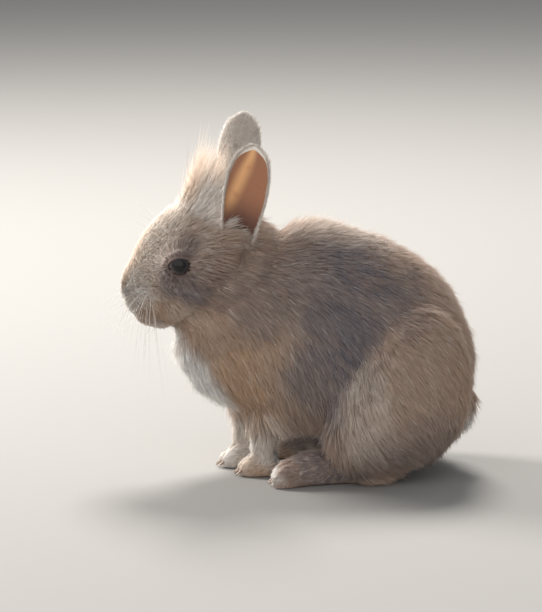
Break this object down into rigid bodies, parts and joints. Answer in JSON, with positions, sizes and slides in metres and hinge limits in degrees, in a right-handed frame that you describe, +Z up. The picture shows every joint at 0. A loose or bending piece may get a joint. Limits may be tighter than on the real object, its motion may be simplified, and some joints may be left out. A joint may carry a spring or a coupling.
{
  "type": "rabbit",
  "caption": "Young sandy rabbit at life size, sitting on its haunches on all fours with its ears up, as a still model.",
  "frame": {"origin": "on the floor, under the middle of the rabbit's bounding box", "axes": "+X forward along the body to the nose, +Y to the rabbit's left, +Z up"},
  "size_m": [0.1845, 0.1034, 0.186],
  "materials": {
    "sandy_coat": "soft, long sandy fur, greyer on the flank and under the eye",
    "pale_coat": "soft cream to white fur",
    "ear_skin": "thin warm skin inside the ear, short pale hair outside",
    "eye": "wet, dark brown"
  },
  "bodies": {
    "root": {"head": "sandy_coat", "neck": "sandy_coat", "trunk": "sandy_coat", "tail": "pale_coat", "ear_left": "ear_skin", "ear_right": "ear_skin", "eye_left": "eye", "eye_right": "eye", "foreleg_left": "sandy_coat", "foreleg_right": "sandy_coat", "forepaw_left": "pale_coat", "forepaw_right": "pale_coat", "thigh_left": "sandy_coat", "thigh_right": "sandy_coat", "hind_foot_left": "sandy_coat", "hind_foot_right": "sandy_coat"}
  },
  "joints": []
}
